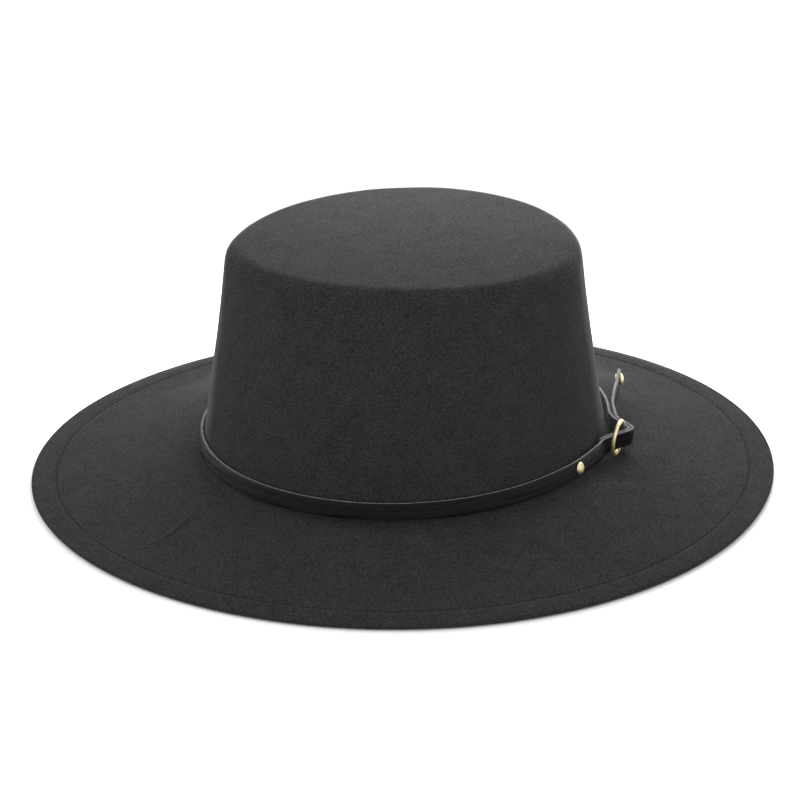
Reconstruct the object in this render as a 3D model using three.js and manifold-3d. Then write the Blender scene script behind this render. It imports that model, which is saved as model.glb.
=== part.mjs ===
// A wide brim felt hat with a flat crown, and a narrow leather strap round the crown that closes in a round brass ring.
// Lengths are millimetres. +Z is up, the front of the hat is -Y and the wearer's left is +X.
// The origin is on the surface that the hat stands on, under the middle of the crown.
import * as THREE from 'three';
import { mergeVertices } from 'three/addons/utils/BufferGeometryUtils.js';
import Module from 'manifold-3d';

const wasm = await Module();
wasm.setup();

// Felt: one blocked piece, crown and brim together
const feltThickness = 2;
const crownHalfWidth = 89.3;
const crownHalfLength = 98.2;
const crownHeight = 91.5;
const crownTaper = 11.2;
const wallHollow = 0.25;
const frontLean = 24;
const shoulderRadius = 7.6;
const tipDome = 1.2;
const rootRadius = 3;
const brimWidth = 74.8;
const brimDrop = 10.1;
const brimWave = 1.2;
const brimWaveTurn = 62;
const brimTrim = 2.2;
const hemWidth = 11;
const hemThickness = 3.6;
const hemMargin = 2;
const edgeRoll = 2.4;
const seamWidth = 2;
const seamDepth = 0.6;

// Strap: one length of leather whose two ends overlap in the ring. Facets come a little nearer than the true curves,
// so a margin is added to the gap.
const strapWidth = 7.3;
const strapThickness = 1.3;
const strapRise = 3.4;
const strapDip = 1.2;
const tailLength = 79.5;
const endRounding = 1.2;
const pieceGap = 0.3;
const gapMargin = 0.06;

// Ring of brass wire
const ringRadius = 7.35;
const wireRadius = 0.9;
const ringTurn = -0.7;
const ringOut = 6.45;
const ringSwing = 7.5;
const ringLean = 6.5;

// Rivets through the strap
const rivetRadius = 2.8;
const rivetHeight = 1.2;
const rivetPostRadius = 1;
const rivetBackRadius = 2.4;
const rivetBackHeight = 0.4;
const rivetBackChamfer = 0.3;
const frontRivetFromRing = 41;
const tailRivetFromTip = 5;

// Fineness of the facets
const crownSides = 64;
const strapStep = 4;
const ringStep = 1.4;
const ringSides = 36;
const wireSides = 10;
const rivetSides = 20;

const rad = THREE.MathUtils.degToRad;
const rootHeight = hemThickness + brimDrop;
const shoulderHeight = rootHeight + crownHeight - shoulderRadius;

// A closed skin over a row of sections, which all have the same number of points, with a fan at each end.
function skin(sections, firstCentre, lastCentre) {
  const count = sections[0].length;
  const points = [firstCentre, ...sections.flat(), lastCentre];
  const last = sections.length - 1;
  const at = (row, turn) => 1 + row * count + (turn % count);
  const faces = [];
  for (let turn = 0; turn < count; turn++) {
    faces.push(0, at(0, turn), at(0, turn + 1));
    for (let row = 0; row < last; row++) {
      faces.push(at(row, turn), at(row + 1, turn), at(row + 1, turn + 1));
      faces.push(at(row, turn), at(row + 1, turn + 1), at(row, turn + 1));
    }
    faces.push(points.length - 1, at(last, turn + 1), at(last, turn));
  }
  const geometry = new THREE.BufferGeometry().setFromPoints(points);
  geometry.setIndex(faces);
  geometry.computeVertexNormals();
  return geometry;
}

// The felt's profile is a list of rows: half of the oval's width and length, its height, how much shorter its front
// half is, because the crown's front leans back towards the top, and its share of what the brim has in plan, a wave all
// round and a trim that makes it narrower at the front and the back.
const row = (halfWidth, halfLength, z, lean, wave = 0) => ({ halfWidth, halfLength, z, lean, wave });
const leanAt = (z) => frontLean * THREE.MathUtils.clamp((z - rootHeight) / (shoulderHeight - rootHeight), 0, 1) ** 2;
const waveShare = (out) => THREE.MathUtils.clamp(out / brimWidth, 0, 1);
const rowOut = (out, z) => row(crownHalfWidth + out, crownHalfLength + out, z, leanAt(z), waveShare(out));

// The crown's wall leans in and is hollow, so it flares towards the brim.
const wallOut = (share) => -crownTaper * ((1 + wallHollow) * share - wallHollow * share * share);

// The brim between its root and the seam of the hem: way is the share of that distance, drop the share of the drop.
const brimRows = [
  { way: 0.16, drop: 0.09 },
  { way: 0.34, drop: 0.28 },
  { way: 0.54, drop: 0.56 },
  { way: 0.76, drop: 0.84 },
];

// The tip, from near its middle to the shoulder, as shares of its flat.
const tipShares = [0.3, 0.65, 1];
const shoulderAngles = [72, 54, 36, 18, 0];
const wallShares = [0.82, 0.62, 0.42, 0.26, 0.15, 0.075];

function tipRow(share, under) {
  const halfWidth = crownHalfWidth - crownTaper - shoulderRadius;
  const halfLength = crownHalfLength - crownTaper - shoulderRadius;
  const z = shoulderHeight + shoulderRadius + tipDome * (1 - share * share) - under;
  return row(halfWidth * share, halfLength * share, z, frontLean * share);
}

function shoulderRow(angle, under) {
  const radius = shoulderRadius - under;
  const out = -crownTaper - shoulderRadius + radius * Math.cos(rad(angle));
  return rowOut(out, shoulderHeight + radius * Math.sin(rad(angle)));
}

function wallRow(share, under) {
  return rowOut(wallOut(share) - under, rootHeight + share * (shoulderHeight - rootHeight));
}

// The root turns from the wall's foot to the brim. Its round touches the wall where the wall leans the same way.
const footLean = Math.atan((crownTaper * (1 + wallHollow)) / (shoulderHeight - rootHeight));
const footShare = (rootRadius * (1 - Math.sin(footLean))) / (shoulderHeight - rootHeight);
const rootCentreOut = wallOut(footShare) + rootRadius * Math.cos(footLean);

function rootRow(share, under) {
  const radius = rootRadius + under;
  const turn = THREE.MathUtils.lerp(footLean, Math.PI / 2, share);
  return rowOut(rootCentreOut - radius * Math.cos(turn), rootHeight + rootRadius - radius * Math.sin(turn));
}

function brimRow({ way, drop }, under) {
  const out = rootCentreOut + way * (brimWidth - hemWidth - rootCentreOut);
  return rowOut(out, rootHeight - drop * brimDrop - under);
}

function feltProfile() {
  const seam = brimWidth - hemWidth;
  const half = hemThickness / 2;
  const roll = [60, 30, 0, -30, -60].map(rad);
  const hemTop = [
    rowOut(seam - seamWidth / 2, hemThickness),
    rowOut(seam, hemThickness - seamDepth),
    rowOut(seam + seamWidth / 2, hemThickness),
    rowOut(brimWidth - edgeRoll, hemThickness),
  ];
  const edge = roll.map((a) => rowOut(brimWidth - edgeRoll * (1 - Math.cos(a)), half + half * Math.sin(a)));
  const hemUnder = [
    rowOut(brimWidth - edgeRoll, 0),
    rowOut(seam - hemMargin, 0),
    rowOut(seam - hemMargin, hemThickness - feltThickness),
  ];
  const outside = [
    ...tipShares.map((share) => tipRow(share, 0)),
    ...shoulderAngles.map((angle) => shoulderRow(angle, 0)),
    ...wallShares.map((share) => wallRow(share, 0)),
    ...[0, 0.33, 0.67, 1].map((share) => rootRow(share, 0)),
    ...brimRows.map((each) => brimRow(each, 0)),
  ];
  const inside = [
    ...brimRows.toReversed().map((each) => brimRow(each, feltThickness)),
    ...[0.95, 0.6, 0.25].map((share) => rootRow(share, feltThickness)),
    ...wallShares.toReversed().map((share) => wallRow(share, feltThickness)),
    ...[0, 30, 60].map((angle) => shoulderRow(angle, feltThickness)),
    ...tipShares.toReversed().map((share) => tipRow(share, feltThickness)),
  ];
  return [...outside, ...hemTop, ...edge, ...hemUnder, ...inside];
}

function ovalRing({ halfWidth, halfLength, z, lean, wave }) {
  return Array.from({ length: crownSides }, (_, side) => {
    const turn = (2 * Math.PI * side) / crownSides;
    const trim = brimTrim * Math.sin(turn) ** 2;
    const wider = wave * (brimWave * Math.cos(3 * (turn - rad(brimWaveTurn))) - trim);
    const length = halfLength + wider - (Math.sin(turn) < 0 ? lean : 0);
    return new THREE.Vector3((halfWidth + wider) * Math.cos(turn), length * Math.sin(turn), z);
  });
}

function feltBody() {
  const top = shoulderHeight + shoulderRadius + tipDome;
  const middle = (z) => new THREE.Vector3(0, 0, z);
  return skin(feltProfile().map(ovalRing), middle(top), middle(top - feltThickness));
}

// The strap lies along the crown's wall. Its line in plan is taken along the middle of its width and thickness.
const wrapHeight = rootHeight + strapRise + strapWidth / 2;
const wallShareAt = (z) => (z - rootHeight) / (shoulderHeight - rootHeight);
const strapLean = Math.atan2(
  wallOut(wallShareAt(wrapHeight - strapWidth / 2)) - wallOut(wallShareAt(wrapHeight + strapWidth / 2)),
  strapWidth,
);
const wrapOut = wallOut(wallShareAt(wrapHeight)) + (pieceGap + strapThickness / 2) / Math.cos(strapLean) + 2 * gapMargin;

// A place on that line: turn goes round the crown from the wearer's left, and off is the distance away from the wall.
function wrapPlace({ turn, off }) {
  const width = crownHalfWidth + wrapOut + off;
  const length = crownHalfLength + wrapOut + off;
  return new THREE.Vector2(width * Math.cos(rad(turn)), length * Math.sin(rad(turn)));
}

// The ring stands beside one place of the line. Its plane is swung outwards from the line at the back.
const ringAlong = wrapPlace({ turn: ringTurn + 1, off: 0 }).sub(wrapPlace({ turn: ringTurn - 1, off: 0 })).normalize()
  .rotateAround(new THREE.Vector2(), -rad(ringSwing));
const ringOutward = new THREE.Vector2(ringAlong.y, -ringAlong.x);
const ringCentre = wrapPlace({ turn: ringTurn, off: ringOut });
const ringHeight = rootHeight + pieceGap + (ringRadius + wireRadius) * Math.cos(rad(ringLean));

// Two layers of strap go through the ring, under its front and over its back. These rows follow the line between the
// layers: along in ring radii towards the back, out in layers from the ring's plane. lift is the share of the ring's
// height and lean that the strap has there.
const layer = strapThickness + pieceGap;
const betweenLayers = [
  { along: -1.35, out: -2.75, lift: 0.25 },
  { along: -1.01, out: -2.36, lift: 0.65 },
  { along: -0.64, out: -1.77, lift: 1 },
  { along: 0, out: 0, lift: 1 },
  { along: 0.64, out: 1.77, lift: 1 },
  { along: 0.84, out: 2.05, lift: 1 },
  { along: 1.06, out: 1.92, lift: 1 },
  { along: 1.25, out: 1.26, lift: 1 },
  { along: 1.47, out: 0.2, lift: 1 },
  { along: 1.8, out: -1.5, lift: 0.95 },
  { along: 2.25, out: -3.9, lift: 0.85 },
];

// The outer layer comes from the crown's front and ends in the free tail, which runs straight on towards the back.
const beforeRing = { along: -1.9, out: -2.3, lift: 0.2 };
const tailRows = [
  { along: 0.385, inward: 0.087, lift: 0.5 },
  { along: 0.47, inward: 0.106, lift: 0.45 },
  { along: 0.62, inward: 0.122, lift: 0.4 },
  { along: 0.79, inward: 0.136, lift: 0.4 },
  { along: 0.988, inward: 0.151, lift: 0.4 },
];

// The inner layer goes to the crown's back. It stands off the wall and meets it further round.
const offRows = [
  { turn: 13, off: 1.2, lift: 0.5 },
  { turn: 19, off: 1.5, lift: 0.3 },
  { turn: 25.5, off: 2.1, lift: 0.2 },
  { turn: 32, off: 2.6, lift: 0.1 },
  { turn: 40, off: 2.2, lift: 0 },
  { turn: 48, off: 1.3, lift: 0 },
  { turn: 56, off: 0.4, lift: 0 },
];
const rivetRows = [
  { turn: 335, off: 0.45, lift: 0.03 },
  { turn: 340, off: 0.7, lift: 0.1 },
  { turn: 345.5, off: 0.95, lift: 0.15 },
];
const wrapStart = 64;
const wrapEnd = 330;
const wrapSteps = 30;

const besideRing = (along, out) => ringCentre.clone()
  .addScaledVector(ringAlong, along)
  .addScaledVector(ringOutward, out);
const ringPlace = ({ along, out }) => besideRing(along * ringRadius, out * layer);
const station = (place, lift) => new THREE.Vector3(place.x, place.y, lift);

// One layer's stations: side is 1 for the outer layer and -1 for the inner one.
function layerStations(side) {
  const places = betweenLayers.map(ringPlace);
  return places.map((place, index) => {
    const before = places[Math.max(index - 1, 0)];
    const after = places[Math.min(index + 1, places.length - 1)];
    const way = after.clone().sub(before).normalize();
    const across = new THREE.Vector2(way.y, -way.x).multiplyScalar((side * layer) / 2);
    return station(place.clone().add(across), betweenLayers[index].lift);
  });
}

function strapRoute() {
  const wrap = Array.from({ length: wrapSteps + 1 }, (_, step) => (
    { turn: THREE.MathUtils.lerp(wrapStart, wrapEnd, step / wrapSteps), off: 0, lift: 0 }
  ));
  const tail = tailRows.map(({ along, inward, lift }) => (
    station(ringCentre.clone().add(new THREE.Vector2(-inward, along).multiplyScalar(tailLength)), lift)
  ));
  return new THREE.CatmullRomCurve3([
    ...layerStations(-1),
    ...[...offRows, ...wrap].map((row) => station(wrapPlace(row), row.lift)),
    ...rivetRows.map((row) => station(wrapPlace(row), row.lift)),
    station(ringPlace(beforeRing), beforeRing.lift),
    ...layerStations(1),
    ...tail,
  ], false, 'centripetal');
}

// The frame of the strap at a distance along it: its middle, its width upwards and its thickness outwards.
function strapFrame(route, distance) {
  const share = distance / route.getLength();
  const point = route.getPointAt(share);
  const tangent = route.getTangentAt(share).setZ(0).normalize();
  const outward = new THREE.Vector3(tangent.y, -tangent.x, 0);
  const lift = THREE.MathUtils.clamp(point.z, 0, 1);
  const lean = THREE.MathUtils.lerp(-strapLean, rad(ringLean), lift);
  const up = new THREE.Vector3(0, 0, Math.cos(lean)).addScaledVector(outward, Math.sin(lean));
  const through = outward.clone().multiplyScalar(Math.cos(lean)).setZ(-Math.sin(lean));
  const middle = new THREE.Vector3(point.x, point.y, THREE.MathUtils.lerp(wrapHeight, ringHeight, lift))
    .addScaledVector(up, -strapDip * lift);
  return { middle, up, through, along: tangent };
}

// Distances along the strap: close together beside the ring, further apart round the crown.
function strapPlaces(length) {
  const runs = [
    { until: 4 * ringRadius, step: ringStep },
    { until: length - tailLength - 3 * ringRadius, step: strapStep },
    { until: length - tailLength + 2.5 * ringRadius, step: ringStep },
    { until: length - endRounding, step: strapStep },
  ];
  const places = [0];
  for (const { until, step } of runs) {
    const start = places.at(-1);
    const count = Math.round((until - start) / step);
    for (let index = 1; index <= count; index++) places.push(start + ((until - start) * index) / count);
  }
  return [...places, length];
}

function strapSection(frame, width) {
  const corner = (through, up) => frame.middle.clone()
    .addScaledVector(frame.through, (through * strapThickness) / 2)
    .addScaledVector(frame.up, (up * width) / 2);
  return [corner(1, -1), corner(1, 1), corner(-1, 1), corner(-1, -1)];
}

function plainStrap(route) {
  const length = route.getLength();
  const places = strapPlaces(length);
  const sections = places.map((place, index) => {
    const atEnd = index === 0 || index === places.length - 1;
    return strapSection(strapFrame(route, place), strapWidth - (atEnd ? endRounding : 0));
  });
  return skin(sections, strapFrame(route, 0).middle, strapFrame(route, length).middle);
}

// Cutting one closed geometry by another.
function toSolid(geometry) {
  const bare = geometry.clone();
  bare.deleteAttribute('normal');
  bare.deleteAttribute('uv');
  const merged = mergeVertices(bare, 1e-4);
  return new wasm.Manifold(new wasm.Mesh({
    numProp: 3,
    vertProperties: new Float32Array(merged.attributes.position.array),
    triVerts: new Uint32Array(merged.index.array),
  }));
}

function toGeometry(solid) {
  const mesh = solid.getMesh();
  const geometry = new THREE.BufferGeometry();
  geometry.setAttribute('position', new THREE.BufferAttribute(mesh.vertProperties, 3));
  geometry.setIndex(new THREE.BufferAttribute(mesh.triVerts, 1));
  geometry.computeVertexNormals();
  return geometry;
}

// A rivet's own Y axis goes through the strap, out of its domed cap.
function rivetPose(route, distance) {
  const frame = strapFrame(route, distance);
  const axes = new THREE.Matrix4().makeBasis(frame.up, frame.through, frame.along);
  return axes.setPosition(frame.middle);
}

function rivetGeometry() {
  const face = strapThickness / 2 + pieceGap + gapMargin;
  const dome = [90, 65, 42, 20, 0].map(rad);
  const profile = [
    new THREE.Vector2(0, -face - rivetBackHeight),
    new THREE.Vector2(rivetBackRadius - rivetBackChamfer, -face - rivetBackHeight),
    new THREE.Vector2(rivetBackRadius, -face - rivetBackHeight / 2),
    new THREE.Vector2(rivetBackRadius, -face),
    new THREE.Vector2(rivetPostRadius, -face),
    new THREE.Vector2(rivetPostRadius, face),
    ...dome.toReversed().map((a) => new THREE.Vector2(rivetRadius * Math.cos(a), face + rivetHeight * Math.sin(a))),
  ];
  profile[profile.length - 1].x = 0;
  return new THREE.LatheGeometry(profile, rivetSides);
}

const rivetHole = () => new THREE.CylinderGeometry(
  rivetPostRadius + pieceGap,
  rivetPostRadius + pieceGap,
  3 * strapThickness,
  rivetSides,
);

const felt = new THREE.MeshStandardMaterial({ color: 0x3c3c3d, roughness: 0.95, metalness: 0 });
const leather = new THREE.MeshStandardMaterial({ color: 0x1c1b1c, roughness: 0.45, metalness: 0 });
const brass = new THREE.MeshStandardMaterial({ color: 0xa8925c, roughness: 0.35, metalness: 1 });

const hat = new THREE.Group();

function addPiece(name, geometry, material) {
  const mesh = new THREE.Mesh(geometry, material);
  mesh.name = name;
  hat.add(mesh);
  return mesh;
}

addPiece('felt_body', feltBody(), felt);

const route = strapRoute();
const tip = route.getLength();

// The front rivet's distance along the strap, which ends there a whole tail and the way from the ring.
const rivetPoses = {
  front_rivet: rivetPose(route, tip - tailLength - frontRivetFromRing),
  tail_rivet: rivetPose(route, tip - tailRivetFromTip),
};
let strap = toSolid(plainStrap(route));
for (const [name, pose] of Object.entries(rivetPoses)) {
  strap = strap.subtract(toSolid(rivetHole().applyMatrix4(pose)));
  addPiece(name, rivetGeometry(), brass).applyMatrix4(pose);
}
addPiece('band_strap', toGeometry(strap), leather);

const ring = addPiece('band_ring', new THREE.TorusGeometry(ringRadius, wireRadius, wireSides, ringSides), brass);
const ringAcross = new THREE.Vector3(ringAlong.x, ringAlong.y, 0);
const ringAxis = new THREE.Vector3(ringOutward.x, ringOutward.y, 0)
  .multiplyScalar(Math.cos(rad(ringLean)))
  .setZ(-Math.sin(rad(ringLean)));
const ringUp = ringAxis.clone().cross(ringAcross);
ring.applyMatrix4(new THREE.Matrix4().makeBasis(ringAcross, ringUp, ringAxis));
ring.position.set(ringCentre.x, ringCentre.y, ringHeight);

export default hat;
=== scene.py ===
# %% [markdown]
# A wide brim felt hat
#
# The hat is one blocked piece of grey wool felt with a flat crown. A narrow leather strap goes round the
# crown, and its two ends lie over each other in a round brass ring. Two domed brass rivets sit on the strap.
#
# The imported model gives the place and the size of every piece. This script makes each piece again with finer
# surfaces, in the same frame: metres, +Z up, the front of the hat at -Y.

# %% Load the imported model
import math
from bisect import bisect_right
import bmesh
import bpy
from mathutils import Matrix, Vector, noise


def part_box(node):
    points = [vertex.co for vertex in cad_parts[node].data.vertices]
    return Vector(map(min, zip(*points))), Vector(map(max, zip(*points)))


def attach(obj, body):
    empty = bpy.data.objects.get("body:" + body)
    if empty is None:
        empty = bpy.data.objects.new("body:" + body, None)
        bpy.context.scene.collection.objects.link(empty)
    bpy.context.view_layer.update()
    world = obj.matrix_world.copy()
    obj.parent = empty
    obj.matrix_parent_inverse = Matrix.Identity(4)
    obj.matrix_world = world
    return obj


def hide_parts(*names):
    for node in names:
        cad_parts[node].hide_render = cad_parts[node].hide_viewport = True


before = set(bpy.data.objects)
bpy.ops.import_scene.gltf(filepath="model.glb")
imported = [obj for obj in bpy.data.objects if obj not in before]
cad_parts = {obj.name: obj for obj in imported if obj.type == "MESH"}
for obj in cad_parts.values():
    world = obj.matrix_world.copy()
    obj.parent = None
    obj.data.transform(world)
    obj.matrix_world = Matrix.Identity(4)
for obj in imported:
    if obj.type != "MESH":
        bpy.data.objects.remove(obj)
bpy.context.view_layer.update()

# %% [markdown]
# Units and small helpers
#
# A hatter works in millimetres and the scene in metres, so every length below is written as a number times
# MM. A shape is made in a bmesh, the kind of mesh that a script can edit, and becomes an object at the end.
# Its place stays in its vertices, so the object itself is at the origin.

# %% Helpers for all pieces
MM = 0.001


def lerp(start, end, share):
    return start + (end - start) * share


def smooth_step(low, high, value):
    share = min(1, max(0, (value - low) / (high - low)))
    return share * share * (3 - 2 * share)


def as_object(shape, name, *finishes):
    """Turns a finished bmesh into a named object with smooth faces and its materials."""
    mesh = bpy.data.meshes.new(name)
    shape.to_mesh(mesh)
    shape.free()
    for finish in finishes:
        mesh.materials.append(finish)
    mesh.shade_smooth()
    piece = bpy.data.objects.new(name, mesh)
    bpy.context.collection.objects.link(piece)
    return piece


def spin_section(section, steps):
    """A new shape: a line of radii and heights, spun once round the Z axis."""
    shape = bmesh.new()
    line = [shape.verts.new((radius, 0, height)) for radius, height in section]
    edges = [shape.edges.new(pair) for pair in zip(line, line[1:])]
    bmesh.ops.spin(shape, geom=line + edges, cent=(0, 0, 0), axis=(0, 0, 1), angle=2 * math.pi,
                   steps=steps, use_merge=True)
    bmesh.ops.remove_doubles(shape, verts=shape.verts, dist=0.01 * MM)
    return shape


def settle(piece):
    """Gives the piece the mesh that its modifiers make, and takes the modifiers off."""
    finished = bpy.data.meshes.new_from_object(piece.evaluated_get(bpy.context.evaluated_depsgraph_get()))
    piece.modifiers.clear()
    piece.data = finished
    print(piece.name, "has", sum(len(face.vertices) - 2 for face in finished.polygons), "triangles")


# %% [markdown]
# Nodes for the finishes
#
# A finish is a small network of nodes. Most networks here need the same steps: read the place on the piece,
# make a noise there, and turn its grey values into a colour, a roughness or a bump. The helpers below add one
# such step each.

# %% Helpers for the finishes
def new_finish(name, colour, **values):
    """A material whose shader has these values on its own sockets."""
    finish = bpy.data.materials.new(name)
    finish.use_nodes = True
    shader = finish.node_tree.nodes["Principled BSDF"]
    shader.inputs["Base Color"].default_value = (*colour, 1)
    for socket, value in values.items():
        shader.inputs[socket.replace("_", " ")].default_value = value
    return finish, finish.node_tree, shader


def grain(tree, scale, detail=2, stretch=(1, 1, 1), read="Object", rough=0.5):
    """Noise on the piece's own coordinates. stretch squeezes the pattern along X, Y and Z."""
    place = tree.nodes.new("ShaderNodeTexCoord")
    mapping = tree.nodes.new("ShaderNodeMapping")
    mapping.inputs["Scale"].default_value = stretch
    tree.links.new(place.outputs[read], mapping.inputs["Vector"])
    pattern = tree.nodes.new("ShaderNodeTexNoise")
    pattern.inputs["Scale"].default_value = scale
    pattern.inputs["Detail"].default_value = detail
    pattern.inputs["Roughness"].default_value = rough
    tree.links.new(mapping.outputs["Vector"], pattern.inputs["Vector"])
    return pattern.outputs["Fac"]


def between(tree, value, low, high, first=0.0, last=1.0):
    """Stretches the part of a value from low to high over first to last."""
    node = tree.nodes.new("ShaderNodeMapRange")
    for socket, number in zip(("From Min", "From Max", "To Min", "To Max"), (low, high, first, last)):
        node.inputs[socket].default_value = number
    tree.links.new(value, node.inputs["Value"])
    return node.outputs["Result"]


def blend_colours(tree, share, first, last):
    """A colour between two others. Each of them is a plain colour or the output of a node."""
    node = tree.nodes.new("ShaderNodeMix")
    node.data_type = "RGBA"
    tree.links.new(share, node.inputs["Factor"])
    for socket, colour in ((node.inputs[6], first), (node.inputs[7], last)):
        if isinstance(colour, tuple):
            socket.default_value = (*colour, 1)
        else:
            tree.links.new(colour, socket)
    return node.outputs[2]


def calculate(tree, operation, first, last):
    """One sum or product of a node's value with a number or with another node's value."""
    node = tree.nodes.new("ShaderNodeMath")
    node.operation = operation
    tree.links.new(first, node.inputs[0])
    if isinstance(last, (int, float)):
        node.inputs[1].default_value = last
    else:
        tree.links.new(last, node.inputs[1])
    return node.outputs["Value"]


def weighted_sum(tree, *parts):
    """The sum of several nodes' values, each times its own number."""
    total = None
    for value, weight in parts:
        product = calculate(tree, "MULTIPLY", value, weight)
        total = product if total is None else calculate(tree, "ADD", total, product)
    return total


def paint(tree, shader, share, first, last):
    """Colours the surface from first to last, by the share that a node gives."""
    tree.links.new(blend_colours(tree, share, first, last), shader.inputs["Base Color"])


def add_bump(tree, shader, height, depth, strength=1.0):
    """Raises the surface by the height's grey values, which reach as deep as depth in metres."""
    bump = tree.nodes.new("ShaderNodeBump")
    bump.inputs["Strength"].default_value = strength
    bump.inputs["Distance"].default_value = depth
    tree.links.new(height, bump.inputs["Height"])
    tree.links.new(bump.outputs["Normal"], shader.inputs["Normal"])


# %% [markdown]
# Felt
#
# Wool felt is a mat of short fibres that lie every way. It has no thread and no shine. What one sees is a
# soft cloudy mottling a few millimetres across, a finer speckle of single fibres, and a pale sheen where the
# surface turns away, where the nap catches the light. The mottling and speckle are noises in three sizes. The
# sheen is painted: the colour turns paler where the surface is seen edge on. A little of the shader's own
# sheen, which is made for cloth, adds to it.

# %% The felt's finish
FELT_DARK = (0.0122, 0.0122, 0.0125)
FELT_LIGHT = (0.0425, 0.0425, 0.0432)
FELT_PAINTED_SHEEN = (0.1, 0.1, 0.102)

felt, tree, shader = new_finish("felt", FELT_DARK, Roughness=1.0, Specular_IOR_Level=0.03,
                                Sheen_Weight=0.02, Sheen_Roughness=0.4, Sheen_Tint=(0.8, 0.8, 0.82, 1))
clouds = grain(tree, 110, detail=3, rough=0.5)
tufts = grain(tree, 1250, detail=2, stretch=(0.7, 0.7, 1.2), rough=0.6)
fibres = grain(tree, 2600, detail=2, stretch=(0.7, 0.7, 1.1), rough=0.7)
tone = weighted_sum(tree, (clouds, 0.09), (tufts, 0.36), (fibres, 0.55))
colour = blend_colours(tree, between(tree, tone, 0.39, 0.61), FELT_DARK, FELT_LIGHT)
# The colour turns paler where the surface is seen edge on: this is painted sheen.
facing = tree.nodes.new("ShaderNodeLayerWeight")
paint(tree, shader, between(tree, facing.outputs["Facing"], 0.76, 0.98), colour, FELT_PAINTED_SHEEN)
nap = weighted_sum(tree, (tufts, 0.6), (fibres, 0.4))
add_bump(tree, shader, nap, depth=0.6 * MM, strength=0.8)
print("felt is made")

# %% [markdown]
# The felt body: its profile
#
# A hatter pulls wet felt over an oval wooden block, so every section of the hat is the same oval made wider
# or narrower. That makes a profile the natural start: one line from the middle of the tip, over the shoulder,
# down the wall, along the brim to the edge, and back on the inside. Each point of the line holds how far it
# is outside the oval of the crown's foot, and its height.

# %% Sizes of the felt body
FELT_THICKNESS = 2 * MM
CROWN_HALF_WIDTH = 89.3 * MM
CROWN_HALF_LENGTH = 98.2 * MM
CROWN_HEIGHT = 91.5 * MM
CROWN_TAPER = 11.2 * MM
WALL_HOLLOW = 0.25
FRONT_LEAN = 24 * MM
SHOULDER_RADIUS = 7.6 * MM
TIP_DOME = 1.2 * MM
ROOT_RADIUS = 3 * MM
BRIM_WIDTH = 74.8 * MM
BRIM_DROP = 10.1 * MM
HEM_WIDTH = 11 * MM
HEM_THICKNESS = 3.6 * MM
HEM_MARGIN = 2 * MM
EDGE_ROLL = 2.4 * MM
ROOT_HEIGHT = HEM_THICKNESS + BRIM_DROP
SHOULDER_HEIGHT = ROOT_HEIGHT + CROWN_HEIGHT - SHOULDER_RADIUS
WALL_HEIGHT = SHOULDER_HEIGHT - ROOT_HEIGHT
SEAM_OUT = BRIM_WIDTH - HEM_WIDTH
TIP_OUT = -CROWN_TAPER - SHOULDER_RADIUS
print("the brim's root is", round(ROOT_HEIGHT / MM, 1), "mm up, the shoulder", round(SHOULDER_HEIGHT / MM, 1))


# %% The parts of the profile
def wall_out(share):
    """How far the wall is from the oval of its foot, at a share of its height. It flares at the foot."""
    return -CROWN_TAPER * ((1 + WALL_HOLLOW) * share - WALL_HOLLOW * share * share)


FOOT_LEAN = math.atan(CROWN_TAPER * (1 + WALL_HOLLOW) / WALL_HEIGHT)
FOOT_SHARE = ROOT_RADIUS * (1 - math.sin(FOOT_LEAN)) / WALL_HEIGHT
ROOT_CENTRE = wall_out(FOOT_SHARE) + ROOT_RADIUS * math.cos(FOOT_LEAN)


def tip_line(shares, under):
    tip_half = CROWN_HALF_WIDTH + TIP_OUT
    top = SHOULDER_HEIGHT + SHOULDER_RADIUS - under
    return [(TIP_OUT - (1 - share) * tip_half, top + TIP_DOME * (1 - share * share)) for share in shares]


def shoulder_line(angles, under):
    radius = SHOULDER_RADIUS - under
    turns = [math.radians(angle) for angle in angles]
    return [(TIP_OUT + radius * math.cos(turn), SHOULDER_HEIGHT + radius * math.sin(turn)) for turn in turns]


def wall_line(shares, under):
    return [(wall_out(share) - under, ROOT_HEIGHT + share * WALL_HEIGHT) for share in shares]


def root_line(shares, under):
    radius = ROOT_RADIUS + under
    turns = [lerp(FOOT_LEAN, math.pi / 2, share) for share in shares]
    middle = ROOT_HEIGHT + ROOT_RADIUS
    return [(ROOT_CENTRE - radius * math.cos(turn), middle - radius * math.sin(turn)) for turn in turns]


BRIM_FALL = [(0, 0), (0.16, 0.09), (0.34, 0.28), (0.54, 0.56), (0.76, 0.84), (1, 1)]


def brim_line(ways, under):
    """The brim between the crown's root and the seam of its hem, a soft fall that flattens out again."""
    line = []
    for way in ways:
        for (near, near_drop), (far, far_drop) in zip(BRIM_FALL, BRIM_FALL[1:]):
            if near <= way <= far:
                drop = lerp(near_drop, far_drop, (way - near) / (far - near))
        line.append((lerp(ROOT_CENTRE, SEAM_OUT, way), ROOT_HEIGHT - drop * BRIM_DROP - under))
    return line


# %% [markdown]
# The hem
#
# The brim's edge is folded under by 11 mm and stitched down. The fold makes it twice as thick, so it looks
# plump, and the stitches pull a narrow groove into the felt. Outside the groove the hem swells a little, and
# then it slopes down to a round edge. The groove is drawn in the profile, a little deeper than it will be,
# because the smoothing that follows rounds it.

# %% The hem's profile
GROOVE_HALF = 0.9 * MM
GROOVE_DEPTH = 0.6 * MM
HEM_PLUMP = 0.35 * MM


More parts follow.
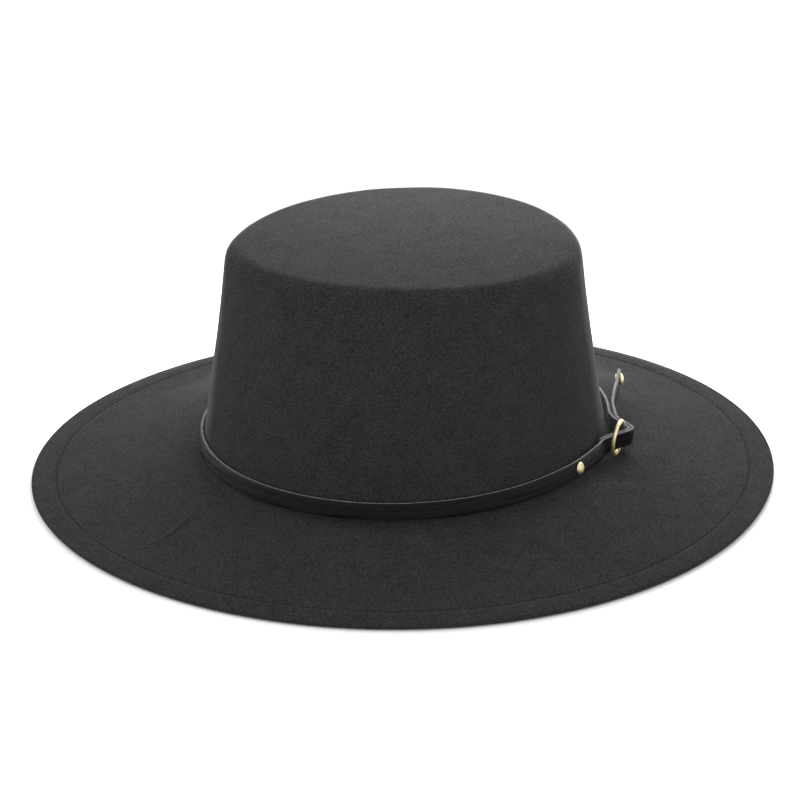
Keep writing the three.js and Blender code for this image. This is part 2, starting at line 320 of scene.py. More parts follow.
def hem_line():
    half = HEM_THICKNESS / 2
    top = [
        (SEAM_OUT - 2.4 * GROOVE_HALF, HEM_THICKNESS + 0.12 * MM),
        (SEAM_OUT - GROOVE_HALF, HEM_THICKNESS + 0.05 * MM),
        (SEAM_OUT - 0.45 * GROOVE_HALF, HEM_THICKNESS - 0.45 * GROOVE_DEPTH),
        (SEAM_OUT, HEM_THICKNESS - GROOVE_DEPTH),
        (SEAM_OUT + 0.45 * GROOVE_HALF, HEM_THICKNESS - 0.4 * GROOVE_DEPTH),
        (SEAM_OUT + 1.1 * GROOVE_HALF, HEM_THICKNESS + 0.1 * MM),
        (SEAM_OUT + 2.6 * GROOVE_HALF, HEM_THICKNESS + HEM_PLUMP),
        (SEAM_OUT + 0.5 * HEM_WIDTH, HEM_THICKNESS + 0.15 * MM),
        (SEAM_OUT + 0.67 * HEM_WIDTH, HEM_THICKNESS - 0.2 * MM),
        (BRIM_WIDTH - EDGE_ROLL, HEM_THICKNESS - 0.5 * MM),
    ]
    turns = [math.radians(angle) for angle in (32, 15, 0, -30, -58)]
    edge = [(BRIM_WIDTH - EDGE_ROLL * (1 - math.cos(turn)), half + half * math.sin(turn)) for turn in turns]
    under = [
        (BRIM_WIDTH - EDGE_ROLL, 0),
        (SEAM_OUT + 3 * MM, 0),
        (SEAM_OUT - HEM_MARGIN + 0.4 * MM, 0),
        (SEAM_OUT - HEM_MARGIN, 0.4 * MM),
        (SEAM_OUT - HEM_MARGIN, HEM_THICKNESS - FELT_THICKNESS),
    ]
    return top + edge + under


def felt_profile():
    return (
        tip_line([0, 0.06, 0.3, 0.58, 0.82, 0.95], 0)
        + shoulder_line([84, 66, 48, 30, 12], 0)
        + wall_line([0.95, 0.8, 0.62, 0.45, 0.3, 0.18, 0.1], 0)
        + root_line([0, 0.4, 0.75, 1], 0)
        + brim_line([0.1, 0.25, 0.42, 0.6, 0.78, 0.9], 0)
        + hem_line()
        + brim_line([0.88, 0.6, 0.34, 0.12], FELT_THICKNESS)
        + root_line([0.95, 0.5, 0.1], FELT_THICKNESS)
        + wall_line([0.12, 0.35, 0.65, 0.92], FELT_THICKNESS)
        + shoulder_line([10, 40, 75], FELT_THICKNESS)
        + tip_line([0.9, 0.45, 0.06, 0], FELT_THICKNESS)
    )


profile = felt_profile()
print("the profile has", len(profile), "points")

# %% [markdown]
# From the profile to the hat
#
# Spin turns the line round the Z axis, as a potter's wheel would, and gives a round hat. The next step makes
# it oval: every vertex moves along Y by the difference between the oval's half length and its half width.
# Near the middle of the tip the move gets smaller, so the centre stays closed. The front half moves less the
# higher it is, because the crown's front leans back towards the top. A hand-shaped brim isn't a perfect oval
# either: it waves in and out by about a millimetre in plan, and it was trimmed by two more at the front and
# the back.

# %% Spin and oval
SPIN_STEPS = 90
BRIM_WAVE = 1.2 * MM
BRIM_WAVE_TURN = math.radians(62)
BRIM_TRIM = 2.2 * MM


def to_oval(place):
    """Moves a place of the round hat to where it is on the oval one."""
    turn = math.atan2(place.y, place.x)
    radius = math.hypot(place.x, place.y)
    height = min(1, max(0, (place.z - ROOT_HEIGHT) / WALL_HEIGHT))
    lean = FRONT_LEAN * height ** 2 if place.y < 0 else 0
    longer = (CROWN_HALF_LENGTH - CROWN_HALF_WIDTH - lean) * min(1, radius / (CROWN_HALF_WIDTH + TIP_OUT))
    on_brim = min(1, max(0, (radius - CROWN_HALF_WIDTH) / BRIM_WIDTH))
    wave = on_brim * (BRIM_WAVE * math.cos(3 * (turn - BRIM_WAVE_TURN)) - BRIM_TRIM * math.sin(turn) ** 2)
    return Vector(((radius + wave) * math.cos(turn), (radius + wave + longer) * math.sin(turn), place.z))


def spin_felt():
    shape = spin_section([(CROWN_HALF_WIDTH + out, height) for out, height in profile], SPIN_STEPS)
    for vertex in shape.verts:
        vertex.co = to_oval(vertex.co)
    bmesh.ops.recalc_face_normals(shape, faces=shape.faces)
    print("spun felt:", len(shape.faces), "faces, closed:", all(edge.is_manifold for edge in shape.edges))
    return shape


hat = as_object(spin_felt(), "felt_hat", felt)
rounding = hat.modifiers.new("rounding", "SUBSURF")
rounding.levels = 2
rounding.render_levels = 2
settle(hat)

# %% [markdown]
# What blocking and wearing leave behind
#
# Felt never dries perfectly even. The tip dips and swells by a fraction of a millimetre, the wall has shallow
# hollows, and the brim isn't quite flat. There is also a short faint crease, a raised line, on the brim's
# front at the wearer's right. All this is done by moving the vertices of the finished mesh with a soft noise.
# The inner face moves with the outer one, so the felt keeps its thickness, and the hem's underside and the
# wall behind the strap stay where they are.

# %% Unevenness and the crease
CREASE_POINTS = [(-86, -115.3), (-81, -110), (-76.7, -103.5), (-73.4, -96), (-71, -88)]
CREASE = [Vector((x, y, 0)) * MM for x, y in CREASE_POINTS]
CREASE_HEIGHT = 0.65 * MM
CREASE_HALF = 1.2 * MM
CREASE_REACH = 5 * MM
CREASE_AREA = 30 * MM

# How far each unevenness moves the felt, and the size of its swells.
SLOW_LIFT, SLOW_SIZE = 0.4 * MM, 34 * MM
QUICK_LIFT, QUICK_SIZE = 0.16 * MM, 13 * MM
WALL_DENT, DENT_SIZE = 0.45 * MM, 30 * MM
TIP_SHARE = 0.6


def sway(place, size, seed):
    """A soft random number from about -1 to 1, which changes over the given size."""
    return noise.noise(place / size + Vector((seed, 3.7 * seed, 1.3 * seed)))


def distance_to_crease(place):
    """A place's distance from the crease in plan, and the share of the crease where it is nearest."""
    flat = Vector((place.x, place.y, 0))
    if (flat - CREASE[2]).length > CREASE_AREA:
        return math.inf, 0
    found = []
    for number, (first, last) in enumerate(zip(CREASE, CREASE[1:])):
        way = last - first
        share = min(1, max(0, (flat - first).dot(way) / way.length_squared))
        found.append(((flat - first - way * share).length, (number + share) / (len(CREASE) - 1)))
    return min(found)


def oval_out(place):
    """How far a place is outside the oval of the crown's foot."""
    turn = math.atan2(place.y / CROWN_HALF_LENGTH, place.x / CROWN_HALF_WIDTH)
    foot = Vector((CROWN_HALF_WIDTH * math.cos(turn), CROWN_HALF_LENGTH * math.sin(turn), 0))
    flat = Vector((place.x, place.y, 0))
    return flat.length - foot.length


def wear(place):
    """Where a place of the evenly blocked felt is on the worn hat."""
    out = oval_out(place)
    flat = Vector((place.x, place.y, 0))
    # The brim is uneven between the strap and the seam, the wall above the strap, and the whole tip.
    on_brim = smooth_step(6 * MM, 22 * MM, out) * (1 - smooth_step(SEAM_OUT - 9 * MM, SEAM_OUT - 2 * MM, out))
    on_tip = smooth_step(SHOULDER_HEIGHT - 2 * MM, SHOULDER_HEIGHT + 5 * MM, place.z)
    on_wall = smooth_step(26 * MM, 40 * MM, place.z) * (1 - on_tip) * (1 if out < 0 else 0)
    lift = SLOW_LIFT * sway(flat, SLOW_SIZE, 1) + QUICK_LIFT * sway(flat, QUICK_SIZE, 2)
    dent = WALL_DENT * sway(Vector((place.x, place.y, 0.7 * place.z)), DENT_SIZE, 5)
    moved = place + Vector((0, 0, lift * (on_brim + TIP_SHARE * on_tip))) + flat.normalized() * dent * on_wall
    gap, share = distance_to_crease(place)
    fold = math.exp(-((gap / CREASE_HALF) ** 2)) * math.sin(math.pi * (0.1 + 0.85 * share))
    return moved + Vector((0, 0, CREASE_HEIGHT * fold * (1 if out > 0 else 0)))


def near_crease(place):
    return distance_to_crease(place)[0] < CREASE_REACH and oval_out(place) > 0


def finish_felt(piece):
    shape = bmesh.new()
    shape.from_mesh(piece.data)
    near = [edge for edge in shape.edges if all(near_crease(end.co) for end in edge.verts)]
    bmesh.ops.subdivide_edges(shape, edges=near, cuts=4, use_grid_fill=True)
    for vertex in shape.verts:
        vertex.co = wear(vertex.co)
    shape.to_mesh(piece.data)
    count = sum(len(face.verts) - 2 for face in shape.faces)
    print("the crease has", len(near), "edges divided, the felt now has", count, "triangles")
    shape.free()
    piece.data.shade_smooth()


finish_felt(hat)

# %% [markdown]
# The hem's stitches
#
# One row of stitches holds the hem. Each stitch is a short piece of thread that dips into the felt at both
# ends. There are about three hundred, so one is a small smooth bead of few faces, drawn out to the length of
# a stitch, and the others are copies of it along the groove. The thread has the felt's own grey and hardly
# shows.

# %% Thread finish and stitches
STITCH_LENGTH = 2.6 * MM
STITCH_PITCH = 3.3 * MM
THREAD_RADIUS = 0.24 * MM
STITCH_HEIGHT = HEM_THICKNESS - 0.38 * MM
SEAM_RADIUS = CROWN_HALF_WIDTH + SEAM_OUT

thread, tree, shader = new_finish("hem_thread", (0.015, 0.015, 0.0155), Roughness=0.85,
                                  Specular_IOR_Level=0.1)
twist = grain(tree, 1800, detail=1)
paint(tree, shader, between(tree, twist, 0.35, 0.65), (0.008, 0.008, 0.0083), (0.024, 0.024, 0.0246))
add_bump(tree, shader, twist, depth=0.1 * MM, strength=0.5)


def seam_place(turn):
    return to_oval(Vector((SEAM_RADIUS * math.cos(turn), SEAM_RADIUS * math.sin(turn), 0)))


def sew_hem():
    shape = bmesh.new()
    around = sum((seam_place(math.radians(a + 1)) - seam_place(math.radians(a))).length for a in range(360))
    count = round(around / STITCH_PITCH)
    size = Matrix.Diagonal((STITCH_LENGTH / 2, THREAD_RADIUS, THREAD_RADIUS, 1))
    for number in range(count):
        turn = 2 * math.pi * number / count
        middle = Matrix.Translation(seam_place(turn) + Vector((0, 0, STITCH_HEIGHT)))
        along = (seam_place(turn + 0.005) - seam_place(turn - 0.005)).normalized()
        across = Vector((along.y, -along.x, 0))
        axes = Matrix((along, across, Vector((0, 0, 1)))).transposed().to_4x4()
        bmesh.ops.create_icosphere(shape, subdivisions=1, radius=1, matrix=middle @ axes @ size)
    faces = len(shape.faces) // count
    print("the seam is", round(around / MM), "mm long and has", count, "stitches of", faces, "faces")
    return shape


stitches = as_object(sew_hem(), "hem_stitches", thread)

# %% [markdown]
# The strap's route
#
# The strap is one length of leather. Its inner end starts in the ring, goes back round the crown, comes
# forward past the front and through the ring again, and runs on as a free tail. The route is a smooth curve
# through stations: each has a place in plan and a lift, the share of the ring's height and lean that the
# strap has there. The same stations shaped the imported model, so the two agree.

# %% Sizes of the strap and the ring
STRAP_WIDTH = 7.3 * MM
STRAP_THICKNESS = 1.3 * MM
STRAP_RISE = 3.4 * MM
STRAP_DIP = 1.2 * MM
TAIL_LENGTH = 79.5 * MM
PIECE_GAP = 0.3 * MM
GAP_MARGIN = 0.06 * MM
RING_RADIUS = 7.35 * MM
WIRE_RADIUS = 0.9 * MM
RING_TURN = -0.7
RING_OUT = 6.45 * MM
RING_SWING = math.radians(7.5)
RING_LEAN = math.radians(6.5)

WRAP_HEIGHT = ROOT_HEIGHT + STRAP_RISE + STRAP_WIDTH / 2


def wall_out_at(height):
    return wall_out((height - ROOT_HEIGHT) / WALL_HEIGHT)


STRAP_BOTTOM, STRAP_TOP = WRAP_HEIGHT - STRAP_WIDTH / 2, WRAP_HEIGHT + STRAP_WIDTH / 2
STRAP_LEAN = math.atan2(wall_out_at(STRAP_BOTTOM) - wall_out_at(STRAP_TOP), STRAP_WIDTH)
LEATHER_OUT = (PIECE_GAP + STRAP_THICKNESS / 2) / math.cos(STRAP_LEAN)
WRAP_OUT = wall_out_at(WRAP_HEIGHT) + LEATHER_OUT + 2 * GAP_MARGIN


def wrap_place(turn, off):
    """A place on the strap's line, turn degrees round from the wearer's left and off metres away from it."""
    angle = math.radians(turn)
    width, length = CROWN_HALF_WIDTH + WRAP_OUT + off, CROWN_HALF_LENGTH + WRAP_OUT + off
    return Vector((width * math.cos(angle), length * math.sin(angle)))


ring_along = (wrap_place(RING_TURN + 1, 0) - wrap_place(RING_TURN - 1, 0)).normalized()
ring_along.rotate(Matrix.Rotation(-RING_SWING, 2))
ring_outward = Vector((ring_along.y, -ring_along.x))
ring_centre = wrap_place(RING_TURN, RING_OUT)
ring_height = ROOT_HEIGHT + PIECE_GAP + (RING_RADIUS + WIRE_RADIUS) * math.cos(RING_LEAN)
print("the strap leans by", round(math.degrees(STRAP_LEAN), 1), "degrees; the ring is at",
      [round(value / MM, 1) for value in (*ring_centre, ring_height)])

# %% Stations of the route
LAYER = STRAP_THICKNESS + PIECE_GAP

# Between the two layers in the ring: along in ring radii, out in layers, and the lift.
BETWEEN_LAYERS = [
    (-1.35, -2.75, 0.25), (-1.01, -2.36, 0.65), (-0.64, -1.77, 1), (0, 0, 1), (0.64, 1.77, 1),
    (0.84, 2.05, 1), (1.06, 1.92, 1), (1.25, 1.26, 1), (1.47, 0.2, 1), (1.8, -1.5, 0.95), (2.25, -3.9, 0.85),
]
# The way to the crown's back: turn in degrees, off in millimetres, lift.
OFF_WALL = [
    (13, 1.2, 0.5), (19, 1.5, 0.3), (25.5, 2.1, 0.2), (32, 2.6, 0.1),
    (40, 2.2, 0), (48, 1.3, 0), (56, 0.4, 0),
]
# The end of the way round the front, under the front rivet, in the same form.
UNDER_RIVET = [(335, 0.45, 0.03), (340, 0.7, 0.1), (345.5, 0.95, 0.15)]
# The tail: along and inward as shares of its length, and the lift.
TAIL = [(0.385, 0.087, 0.5), (0.47, 0.106, 0.45), (0.62, 0.122, 0.4), (0.79, 0.136, 0.4), (0.988, 0.151, 0.4)]
WRAP_START, WRAP_END, WRAP_STEPS = 64, 330, 30
# The one station between the front rivet and the ring, in the form of those between the layers.
INTO_RING = (-1.9, -2.3, 0.2)


def station(place, lift):
    return Vector((place.x / MM, place.y / MM, lift))


def ring_place(along, out):
    return ring_centre + ring_along * (along * RING_RADIUS) + ring_outward * (out * LAYER)


def layer_stations(side):
    """One layer's stations in the ring: side is 1 for the outer layer and -1 for the inner one."""
    places = [ring_place(along, out) for along, out, _ in BETWEEN_LAYERS]
    stations = []
    for index, place in enumerate(places):
        way = (places[min(index + 1, len(places) - 1)] - places[max(index - 1, 0)]).normalized()
        stations.append(station(place + Vector((way.y, -way.x)) * side * LAYER / 2, BETWEEN_LAYERS[index][2]))
    return stations


def strap_stations():
    wrap = [(lerp(WRAP_START, WRAP_END, step / WRAP_STEPS), 0, 0) for step in range(WRAP_STEPS + 1)]
    rows = OFF_WALL + wrap + UNDER_RIVET
    round_crown = [station(wrap_place(turn, off * MM), lift) for turn, off, lift in rows]
    along, out, lift = INTO_RING
    into_ring = [station(ring_place(along, out), lift)]
    tail = [station(ring_centre + Vector((-inward, along)) * TAIL_LENGTH, lift)
            for along, inward, lift in TAIL]
    return layer_stations(-1) + round_crown + into_ring + layer_stations(1) + tail


# %% [markdown]
# A smooth curve through the stations
#
# The curve passes through all the stations, and at each one it takes its direction from the stations on both
# sides. Its pieces are timed by the root of the distance between their ends, so it makes no loops where the
# stations are close together, as they are at the ring. The curve is sampled finely, and the summed steps tell
# how far along the leather each sample is.

# %% The route as a table of samples
LEAST_SPAN = 1e-4


def curve_piece(before, start, end, after, steps):
    """Samples of the curve between start and end."""
    four = (before, start, end, after)
    first, span, last = [max(LEAST_SPAN, (b - a).length ** 0.5) for a, b in zip(four, four[1:])]
    straight = (end - start) / span
    leave = ((start - before) / first - (end - before) / (first + span) + straight) * span
    arrive = (straight - (after - start) / (span + last) + (after - end) / last) * span
    places = []
    for step in range(steps):
        t = step / steps
        places.append(start + leave * t + (end * 3 - start * 3 - leave * 2 - arrive) * t * t
                      + (start * 2 - end * 2 + leave + arrive) * t * t * t)
    return places


def sample_route(stations, steps=24):
    ends = [stations[0] * 2 - stations[1]] + stations + [stations[-1] * 2 - stations[-2]]
    places = []
    for four in zip(ends, ends[1:], ends[2:], ends[3:]):
        places += curve_piece(*four, steps)
    return places + [stations[-1]]


route = sample_route(strap_stations())
travelled = [0]
for here, there in zip(route, route[1:]):
    travelled.append(travelled[-1] + (there - here).length * MM)
STRAP_LENGTH = travelled[-1]
print("the strap is", round(STRAP_LENGTH / MM), "mm long, over", len(route), "samples")


# %% The strap's place and lean at a distance
def strap_frame(distance):
    """The strap's middle at this distance, and its directions along, upwards and outwards."""
    index = min(max(bisect_right(travelled, distance) - 1, 0), len(route) - 2)
    share = (distance - travelled[index]) / (travelled[index + 1] - travelled[index])
    here = route[index].lerp(route[index + 1], share)
    before, after = route[max(index - 1, 0)], route[min(index + 2, len(route) - 1)]
    along = Vector((after.x - before.x, after.y - before.y, 0)).normalized()
    outward = Vector((along.y, -along.x, 0))
    lift = min(1, max(0, here.z))
    lean = lerp(-STRAP_LEAN, RING_LEAN, lift)
    up = Vector((0, 0, math.cos(lean))) + outward * math.sin(lean)
    through = outward * math.cos(lean) - Vector((0, 0, math.sin(lean)))
    middle = Vector((here.x * MM, here.y * MM, lerp(WRAP_HEIGHT, ring_height, lift))) - up * STRAP_DIP * lift
    return middle, along, up, through


RIVET_TRIES = 3000


def nearest_distance(node):
    """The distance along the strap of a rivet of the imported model, on the outer layer."""
    low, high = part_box(node)
    target = (low + high) / 2
    places = [STRAP_LENGTH * step / RIVET_TRIES for step in range(RIVET_TRIES // 2, RIVET_TRIES + 1)]
    return min(places, key=lambda distance: (strap_frame(distance)[0] - target).length)


rivet_distances = {name: nearest_distance(name) for name in ("front_rivet", "tail_rivet")}
print("rivets at", {name: round(distance / MM, 1) for name, distance in rivet_distances.items()}, "mm")

# %% [markdown]
# Leather finishes
#
# The strap is cut from dyed leather. Its outer face, the grain side, is nearly black with a soft shine and a
# very fine grain, and long soft streaks run along it. Where the streaks make the colour paler, they are
# painted highlights; where they change the roughness and the relief, they are the leather's own. The cut edges
# were
# never painted: they show the light grey fibres inside. The flesh side is dull and rough. The patterns read
# the strap's UV map, which holds each place as it was when the strap lay flat, so the streaks run along the
# leather.

# %% The strap's three finishes
grain_side, tree, shader = new_finish("leather_grain_side", (0.007, 0.007, 0.0075), Roughness=0.4,
                                      Specular_IOR_Level=0.1)
streaks_and_painted_highlights = grain(tree, 90, detail=4, stretch=(0.35, 6, 1), read="UV", rough=0.6)
pores = grain(tree, 1500, detail=2, stretch=(0.7, 1, 1), read="UV")
# Where the streaks make the colour paler, they are painted highlights along the strap.
paint(tree, shader, between(tree, streaks_and_painted_highlights, 0.35, 0.7), (0.003, 0.003, 0.0033), (0.012, 0.0117, 0.0117))
tree.links.new(between(tree, streaks_and_painted_highlights, 0.35, 0.65, 0.2, 0.6), shader.inputs["Roughness"])
relief = weighted_sum(tree, (streaks_and_painted_highlights, 4), (pores, 1))
add_bump(tree, shader, relief, depth=0.12 * MM, strength=0.8)

raw_edge, tree, shader = new_finish("leather_raw_edge", (0.2, 0.2, 0.2), Roughness=0.85,
                                    Specular_IOR_Level=0.25)
edge_fibres = grain(tree, 1300, detail=3, stretch=(0.6, 1, 1), rough=0.7)
paint(tree, shader, between(tree, edge_fibres, 0.35, 0.68), (0.065, 0.065, 0.067), (0.22, 0.22, 0.22))
add_bump(tree, shader, edge_fibres, depth=0.25 * MM, strength=0.7)

flesh_side, tree, shader = new_finish("leather_flesh_side", (0.06, 0.06, 0.06), Roughness=0.95,
                                      Specular_IOR_Level=0.2, Sheen_Weight=0.15)
flesh_fibres = grain(tree, 700, detail=4, rough=0.7)
paint(tree, shader, between(tree, flesh_fibres, 0.3, 0.7), (0.03, 0.03, 0.03), (0.12, 0.12, 0.12))
add_bump(tree, shader, flesh_fibres, depth=0.3 * MM, strength=0.8)
print("leather is made: grain side, raw edge, flesh side")

# %% [markdown]
# The strap, cut flat
#
# A saddler cuts the strap flat, rounds its corners, thins its edges and punches the holes before it goes on
# the hat. The model is made in the same order. A flat grid is scaled to length and width and extruded to the
# leather's thickness, the corners of the tail and then the long edges are bevelled, and each hole is cut by a
# round punch.

# %% Cut and bevel the flat strap
STRAP_SEGMENTS = 540
CORNER_ROUNDING = 1.5 * MM
EDGE_ROUNDING = 0.28 * MM
STRAP_CROWN = 0.1 * MM
HOLE_RADIUS = 1.3 * MM
SAME_PLACE = 1e-6


def upright_corners(shape):
    """The four edges that stand at the corners of the flat strap."""
    return [edge for edge in shape.edges
            if abs(edge.verts[0].co.z - edge.verts[1].co.z) > 0.5 * STRAP_THICKNESS
            and all(abs(abs(end.co.y) - STRAP_WIDTH / 2) < SAME_PLACE for end in edge.verts)
            and all(min(end.co.x, STRAP_LENGTH - end.co.x) < SAME_PLACE for end in edge.verts)]


def rim_edges(shape):
    """The sharp edges all round the two faces of the flat strap."""
    return [edge for edge in shape.edges if len(edge.link_faces) == 2
            and abs(edge.verts[0].co.z - edge.verts[1].co.z) < SAME_PLACE
            and sorted(abs(face.normal.z) > 0.5 for face in edge.link_faces) == [False, True]]


def cut_strap():
    shape = bmesh.new()
    flat = Matrix.Translation((STRAP_LENGTH / 2, 0, -STRAP_THICKNESS / 2)) @ Matrix.Diagonal(
        (STRAP_LENGTH / 2, STRAP_WIDTH / 2, 1, 1))
    bmesh.ops.create_grid(shape, x_segments=STRAP_SEGMENTS, y_segments=5, size=1, matrix=flat)
    outer = bmesh.ops.extrude_face_region(shape, geom=shape.faces[:], use_keep_orig=True)["geom"]
    bmesh.ops.translate(shape, verts=[item for item in outer if isinstance(item, bmesh.types.BMVert)],
                        vec=(0, 0, STRAP_THICKNESS))
    bmesh.ops.recalc_face_normals(shape, faces=shape.faces)
    bmesh.ops.bevel(shape, geom=upright_corners(shape), affect="EDGES", offset=CORNER_ROUNDING, segments=4,
                    profile=0.5, material=-1)
    shape.normal_update()
    bmesh.ops.bevel(shape, geom=rim_edges(shape), affect="EDGES", offset=EDGE_ROUNDING, segments=2,
                    profile=0.5, material=-1)
    print("flat strap:", len(shape.faces), "faces, closed:", all(edge.is_manifold for edge in shape.edges))
    return shape


strap = as_object(cut_strap(), "strap", grain_side, raw_edge, flesh_side)


# %% Punch the rivets' holes
def punch(piece, distance):
    tool = bmesh.new()
    bmesh.ops.create_cone(tool, cap_ends=True, segments=24, radius1=HOLE_RADIUS, radius2=HOLE_RADIUS,
                          depth=4 * STRAP_THICKNESS, matrix=Matrix.Translation((distance, 0, 0)))
    cutter = as_object(tool, "punch")
    hole = piece.modifiers.new("hole", "BOOLEAN")
    hole.object = cutter
    hole.operation = "DIFFERENCE"
    hole.solver = "EXACT"
    settle(piece)
    bpy.data.objects.remove(cutter)


for distance in rivet_distances.values():
    punch(strap, distance)

# %% [markdown]
# The strap, bent onto the hat
#
# Now every vertex of the flat strap goes to the same distance along the route, with its width upwards and its
# thickness outwards. Before that, the flat places are kept as a UV map for the finishes, and each face gets
# its finish: faces that look up are the grain side, faces that look down the flesh side, and the rest the raw
# edge.

# %% Finishes and bending
LOOKS_UP = 0.45
LOOKS_DOWN = -0.75


def finish_number(normal):
    """The place in the strap's list of finishes for a flat face with this normal."""
    if normal.z > LOOKS_UP:
        return 0
    return 2 if normal.z < LOOKS_DOWN else 1


def bend_strap(piece):
    shape = bmesh.new()
    shape.from_mesh(piece.data)
    shape.normal_update()
    map_layer = shape.loops.layers.uv.new("UVMap")
    for face in shape.faces:
        face.material_index = finish_number(face.normal)
        for loop in face.loops:
            loop[map_layer].uv = (loop.vert.co.x, loop.vert.co.y + 0.5 * loop.vert.co.z)
    for vertex in shape.verts:
        flat = vertex.co.copy()
        middle, _, up, through = strap_frame(min(STRAP_LENGTH, max(0, flat.x)))
        cushion = STRAP_CROWN * (1 - (2 * flat.y / STRAP_WIDTH) ** 2) if flat.z > 0 else 0
        vertex.co = middle + up * flat.y + through * (flat.z + cushion)
    bmesh.ops.recalc_face_normals(shape, faces=shape.faces)
    shape.to_mesh(piece.data)
    shape.free()
    piece.data.shade_smooth()


bend_strap(strap)

# %% [markdown]
# The ring
#
# The ring is a length of round brass wire, bent and brazed. A small circle, spun once round the ring's axis,
# gives it. It is made lying flat and then moved to its place on the strap, standing on the brim and leaning
# on the leather.

# %% Aged brass
brass, tree, shader = new_finish("aged_brass", (0.52, 0.42, 0.24), Metallic=1.0, Roughness=0.35)
patina = grain(tree, 420, detail=5, rough=0.65)
scuffs = grain(tree, 1900, detail=2, rough=0.6)
paint(tree, shader, between(tree, patina, 0.4, 0.66), (0.88, 0.77, 0.5), (0.52, 0.42, 0.23))
tree.links.new(between(tree, patina, 0.35, 0.7, 0.38, 0.62), shader.inputs["Roughness"])
add_bump(tree, shader, scuffs, depth=0.06 * MM, strength=0.5)

# %% Spin the ring and stand it up
ring_across = ring_along.to_3d()
ring_axis = ring_outward.to_3d() * math.cos(RING_LEAN) - Vector((0, 0, math.sin(RING_LEAN)))
ring_pose = Matrix((ring_across, ring_axis.cross(ring_across), ring_axis)).transposed().to_4x4()
ring_pose.translation = (*ring_centre, ring_height)


def bend_ring():
    shape = bmesh.new()
    wire = Matrix.Translation((RING_RADIUS, 0, 0)) @ Matrix.Rotation(math.pi / 2, 4, "X")
    bmesh.ops.create_circle(shape, cap_ends=False, segments=20, radius=WIRE_RADIUS, matrix=wire)
    bmesh.ops.spin(shape, geom=shape.verts[:] + shape.edges[:], cent=(0, 0, 0), axis=(0, 0, 1),
                   angle=2 * math.pi, steps=96, use_merge=True)
    bmesh.ops.remove_doubles(shape, verts=shape.verts, dist=0.001 * MM)
    bmesh.ops.recalc_face_normals(shape, faces=shape.faces)
    bmesh.ops.transform(shape, matrix=ring_pose, verts=shape.verts)
    print("ring:", len(shape.faces), "faces, closed:", all(edge.is_manifold for edge in shape.edges))
    return shape


ring = as_object(bend_ring(), "ring", brass)

# %% [markdown]
# The rivets
#
# A rivet has a domed cap with a thin flat rim, a post through the leather and a flat cap behind. It is turned
# work, so it is spun from half of its section. Each one is made round the Z axis, and then turned so that
# this axis goes through the strap.

# %% Spin the rivets
RIVET_RADIUS = 2.8 * MM
RIVET_HEIGHT = 1.2 * MM
POST_RADIUS = 1 * MM
BACK_RADIUS = 2.4 * MM
BACK_HEIGHT = 0.4 * MM


def rivet_section():
    face = STRAP_THICKNESS / 2 + PIECE_GAP + GAP_MARGIN
    rim = 0.2 * MM
    dome_radius = RIVET_RADIUS - 0.35 * MM
    turns = [math.radians(angle) for angle in (0, 8, 20, 34, 48, 62, 76, 90)]
    dome = [(dome_radius * math.cos(turn), face + rim + (RIVET_HEIGHT - rim) * math.sin(turn))
            for turn in turns]
    back = [(0, -face - BACK_HEIGHT), (BACK_RADIUS - 0.3 * MM, -face - BACK_HEIGHT),
            (BACK_RADIUS - 0.08 * MM, -face - 0.8 * BACK_HEIGHT), (BACK_RADIUS, -face - 0.5 * BACK_HEIGHT),
            (BACK_RADIUS - 0.04 * MM, -face), (POST_RADIUS, -face), (POST_RADIUS, face)]
    cap = [(RIVET_RADIUS - 0.1 * MM, face), (RIVET_RADIUS, face + 0.5 * rim),
           (RIVET_RADIUS - 0.08 * MM, face + rim)]
    return back + cap + dome


def turn_rivet(distance):
    middle, along, up, through = strap_frame(distance)
    pose = Matrix((up, along, through)).transposed().to_4x4()
    pose.translation = middle
    shape = spin_section(rivet_section(), steps=40)
    bmesh.ops.transform(shape, matrix=pose, verts=shape.verts)
    bmesh.ops.recalc_face_normals(shape, faces=shape.faces)
    return shape


rivets = {}
for name, distance in rivet_distances.items():
    rivets[name] = as_object(turn_rivet(distance), "cap_of_" + name, brass)
print("rivets:", [len(rivet.data.polygons) for rivet in rivets.values()], "faces")

# %% [markdown]
# Who stands for what
#
# Each piece rides on the hat's one body and hides the imported solid that it stands for. The table also lists
# a slot for each piece's finish, but nothing here uses it. The stitches stand for nothing in the imported
# model, so they only ride.

# %% Riding and replacing; the slots are only listed
stand_ins = [
    (hat, "felt_body", "felt"),
    (strap, "band_strap", "leather"),
    (ring, "band_ring", "brass"),
    (rivets["front_rivet"], "front_rivet", "brass"),
    (rivets["tail_rivet"], "tail_rivet", "brass"),
]
for piece, node, slot in stand_ins:
    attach(piece, "root")
    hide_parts(node)
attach(stitches, "root")

# %% [markdown]
# Floor
#
# The hat lies on a plain white floor, as in a shop photograph. The floor is bright enough to come out white,
# and only the strip that the brim shades turns grey.

# %% The floor
FLOOR_HALF = 5.0

floor_paint = new_finish("floor_paint", (0.985, 0.985, 0.985), Roughness=0.9, Specular_IOR_Level=0.1)[0]
sheet = bmesh.new()
bmesh.ops.create_grid(sheet, x_segments=1, y_segments=1, size=FLOOR_HALF)
floor = as_object(sheet, "floor", floor_paint)

# %% [markdown]
# Light
#
# In the photograph the back of the tip is the brightest felt and the front of the brim, which the crown
# shades, the darkest. So the main lamp is small and low and stands close behind the crown. Its light falls
# off quickly over the tip, and the crown keeps it from the brim's front. A white world lights the rest and
# makes the floor white, with a weak broad lamp overhead. Two upright strips draw pale lines down the crown's
# sides. The one at the picture's left is much the stronger.

# %% Lamps and world
def soft_light(name, place, aim, width, height, power):
    lamp = bpy.data.lights.new(name, "AREA")
    lamp.shape = "RECTANGLE"
    lamp.size = width
    lamp.size_y = height
    lamp.energy = power
    holder = bpy.data.objects.new(name, lamp)
    holder.location = place
    holder.rotation_mode = "QUATERNION"
    holder.rotation_quaternion = (Vector(aim) - Vector(place)).to_track_quat("-Z", "Y")
    bpy.context.collection.objects.link(holder)


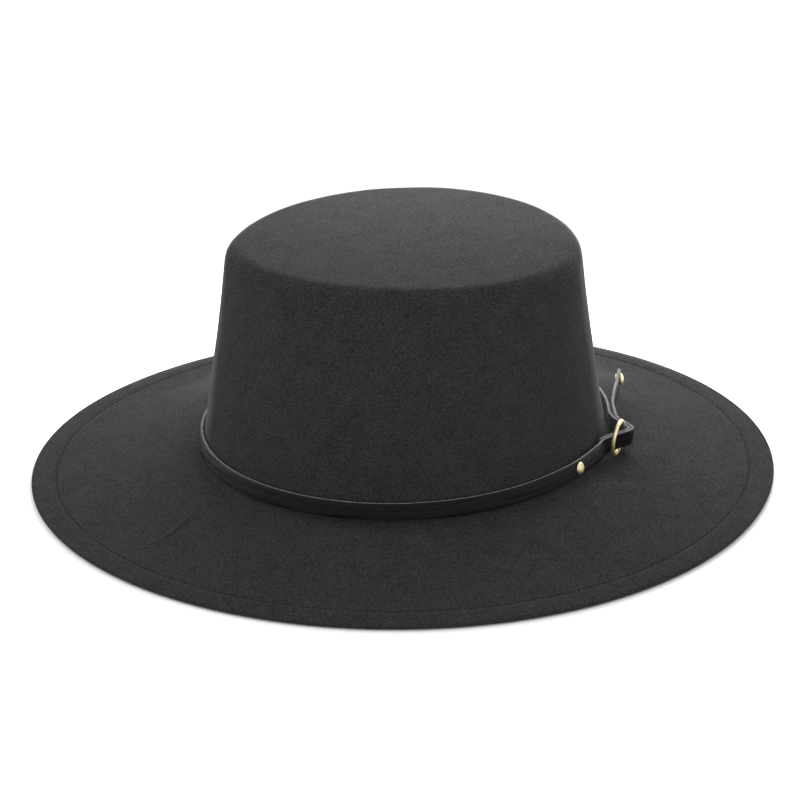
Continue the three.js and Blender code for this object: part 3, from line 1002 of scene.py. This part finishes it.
soft_light("overhead", (0, 0, 1.35), aim=(0, 0, 0), width=1.7, height=1.3, power=0.9)
soft_light("back", (0, 0.22, 0.205), aim=(0, 0, 0.1), width=0.34, height=0.08, power=1.7)
soft_light("left_strip", (-0.95, 0.15, 0.42), aim=(0, 0, 0.06), width=0.35, height=0.8, power=2.9)
soft_light("right_strip", (0.95, 0.15, 0.42), aim=(0, 0, 0.06), width=0.35, height=0.8, power=0.5)

world = bpy.data.worlds.new("white room")
world.use_nodes = True
background = world.node_tree.nodes["Background"]
background.inputs["Color"].default_value = (1, 1, 1, 1)
background.inputs["Strength"].default_value = 1.0
bpy.context.scene.world = world
bpy.context.scene.view_settings.view_transform = "Standard"

# %% [markdown]
# Camera
#
# The camera looks down by 22 degrees from the front and a little from the wearer's left. It is 1.6 m away
# with a long lens, so the hat shows hardly any perspective. It aims a little above the brim's root, which
# puts the hat below the middle of the picture, and it is rolled by nearly one degree, as in the photograph.

# %% The camera
AZIMUTH = math.radians(12.6)
ELEVATION = math.radians(21.98)
DISTANCE = 1607.4 * MM
ROLL = math.radians(0.85)
AIM_UP = 17.6 * MM
AIM_LEFT = 1.9 * MM
SENSOR_WIDTH = 36
FOCAL_LENGTH = 163.3

lens = bpy.data.cameras.new("camera")
lens.sensor_width = SENSOR_WIDTH
lens.lens = FOCAL_LENGTH
camera = bpy.data.objects.new("camera", lens)
bpy.context.collection.objects.link(camera)
bpy.context.scene.camera = camera

brim_root = Vector((0, 0, ROOT_HEIGHT))
backward = Vector((math.sin(AZIMUTH) * math.cos(ELEVATION), -math.cos(AZIMUTH) * math.cos(ELEVATION),
                   math.sin(ELEVATION)))
rightward = Vector((math.cos(AZIMUTH), math.sin(AZIMUTH), 0))
upward = backward.cross(rightward)
camera.location = brim_root + backward * DISTANCE
aim = brim_root + upward * AIM_UP - rightward * AIM_LEFT
camera.rotation_mode = "QUATERNION"
camera.rotation_quaternion = (aim - camera.location).to_track_quat("-Z", "Y") @ Matrix.Rotation(
    -ROLL, 3, "Z").to_quaternion()
print("the camera stands at", [round(value, 3) for value in camera.location])
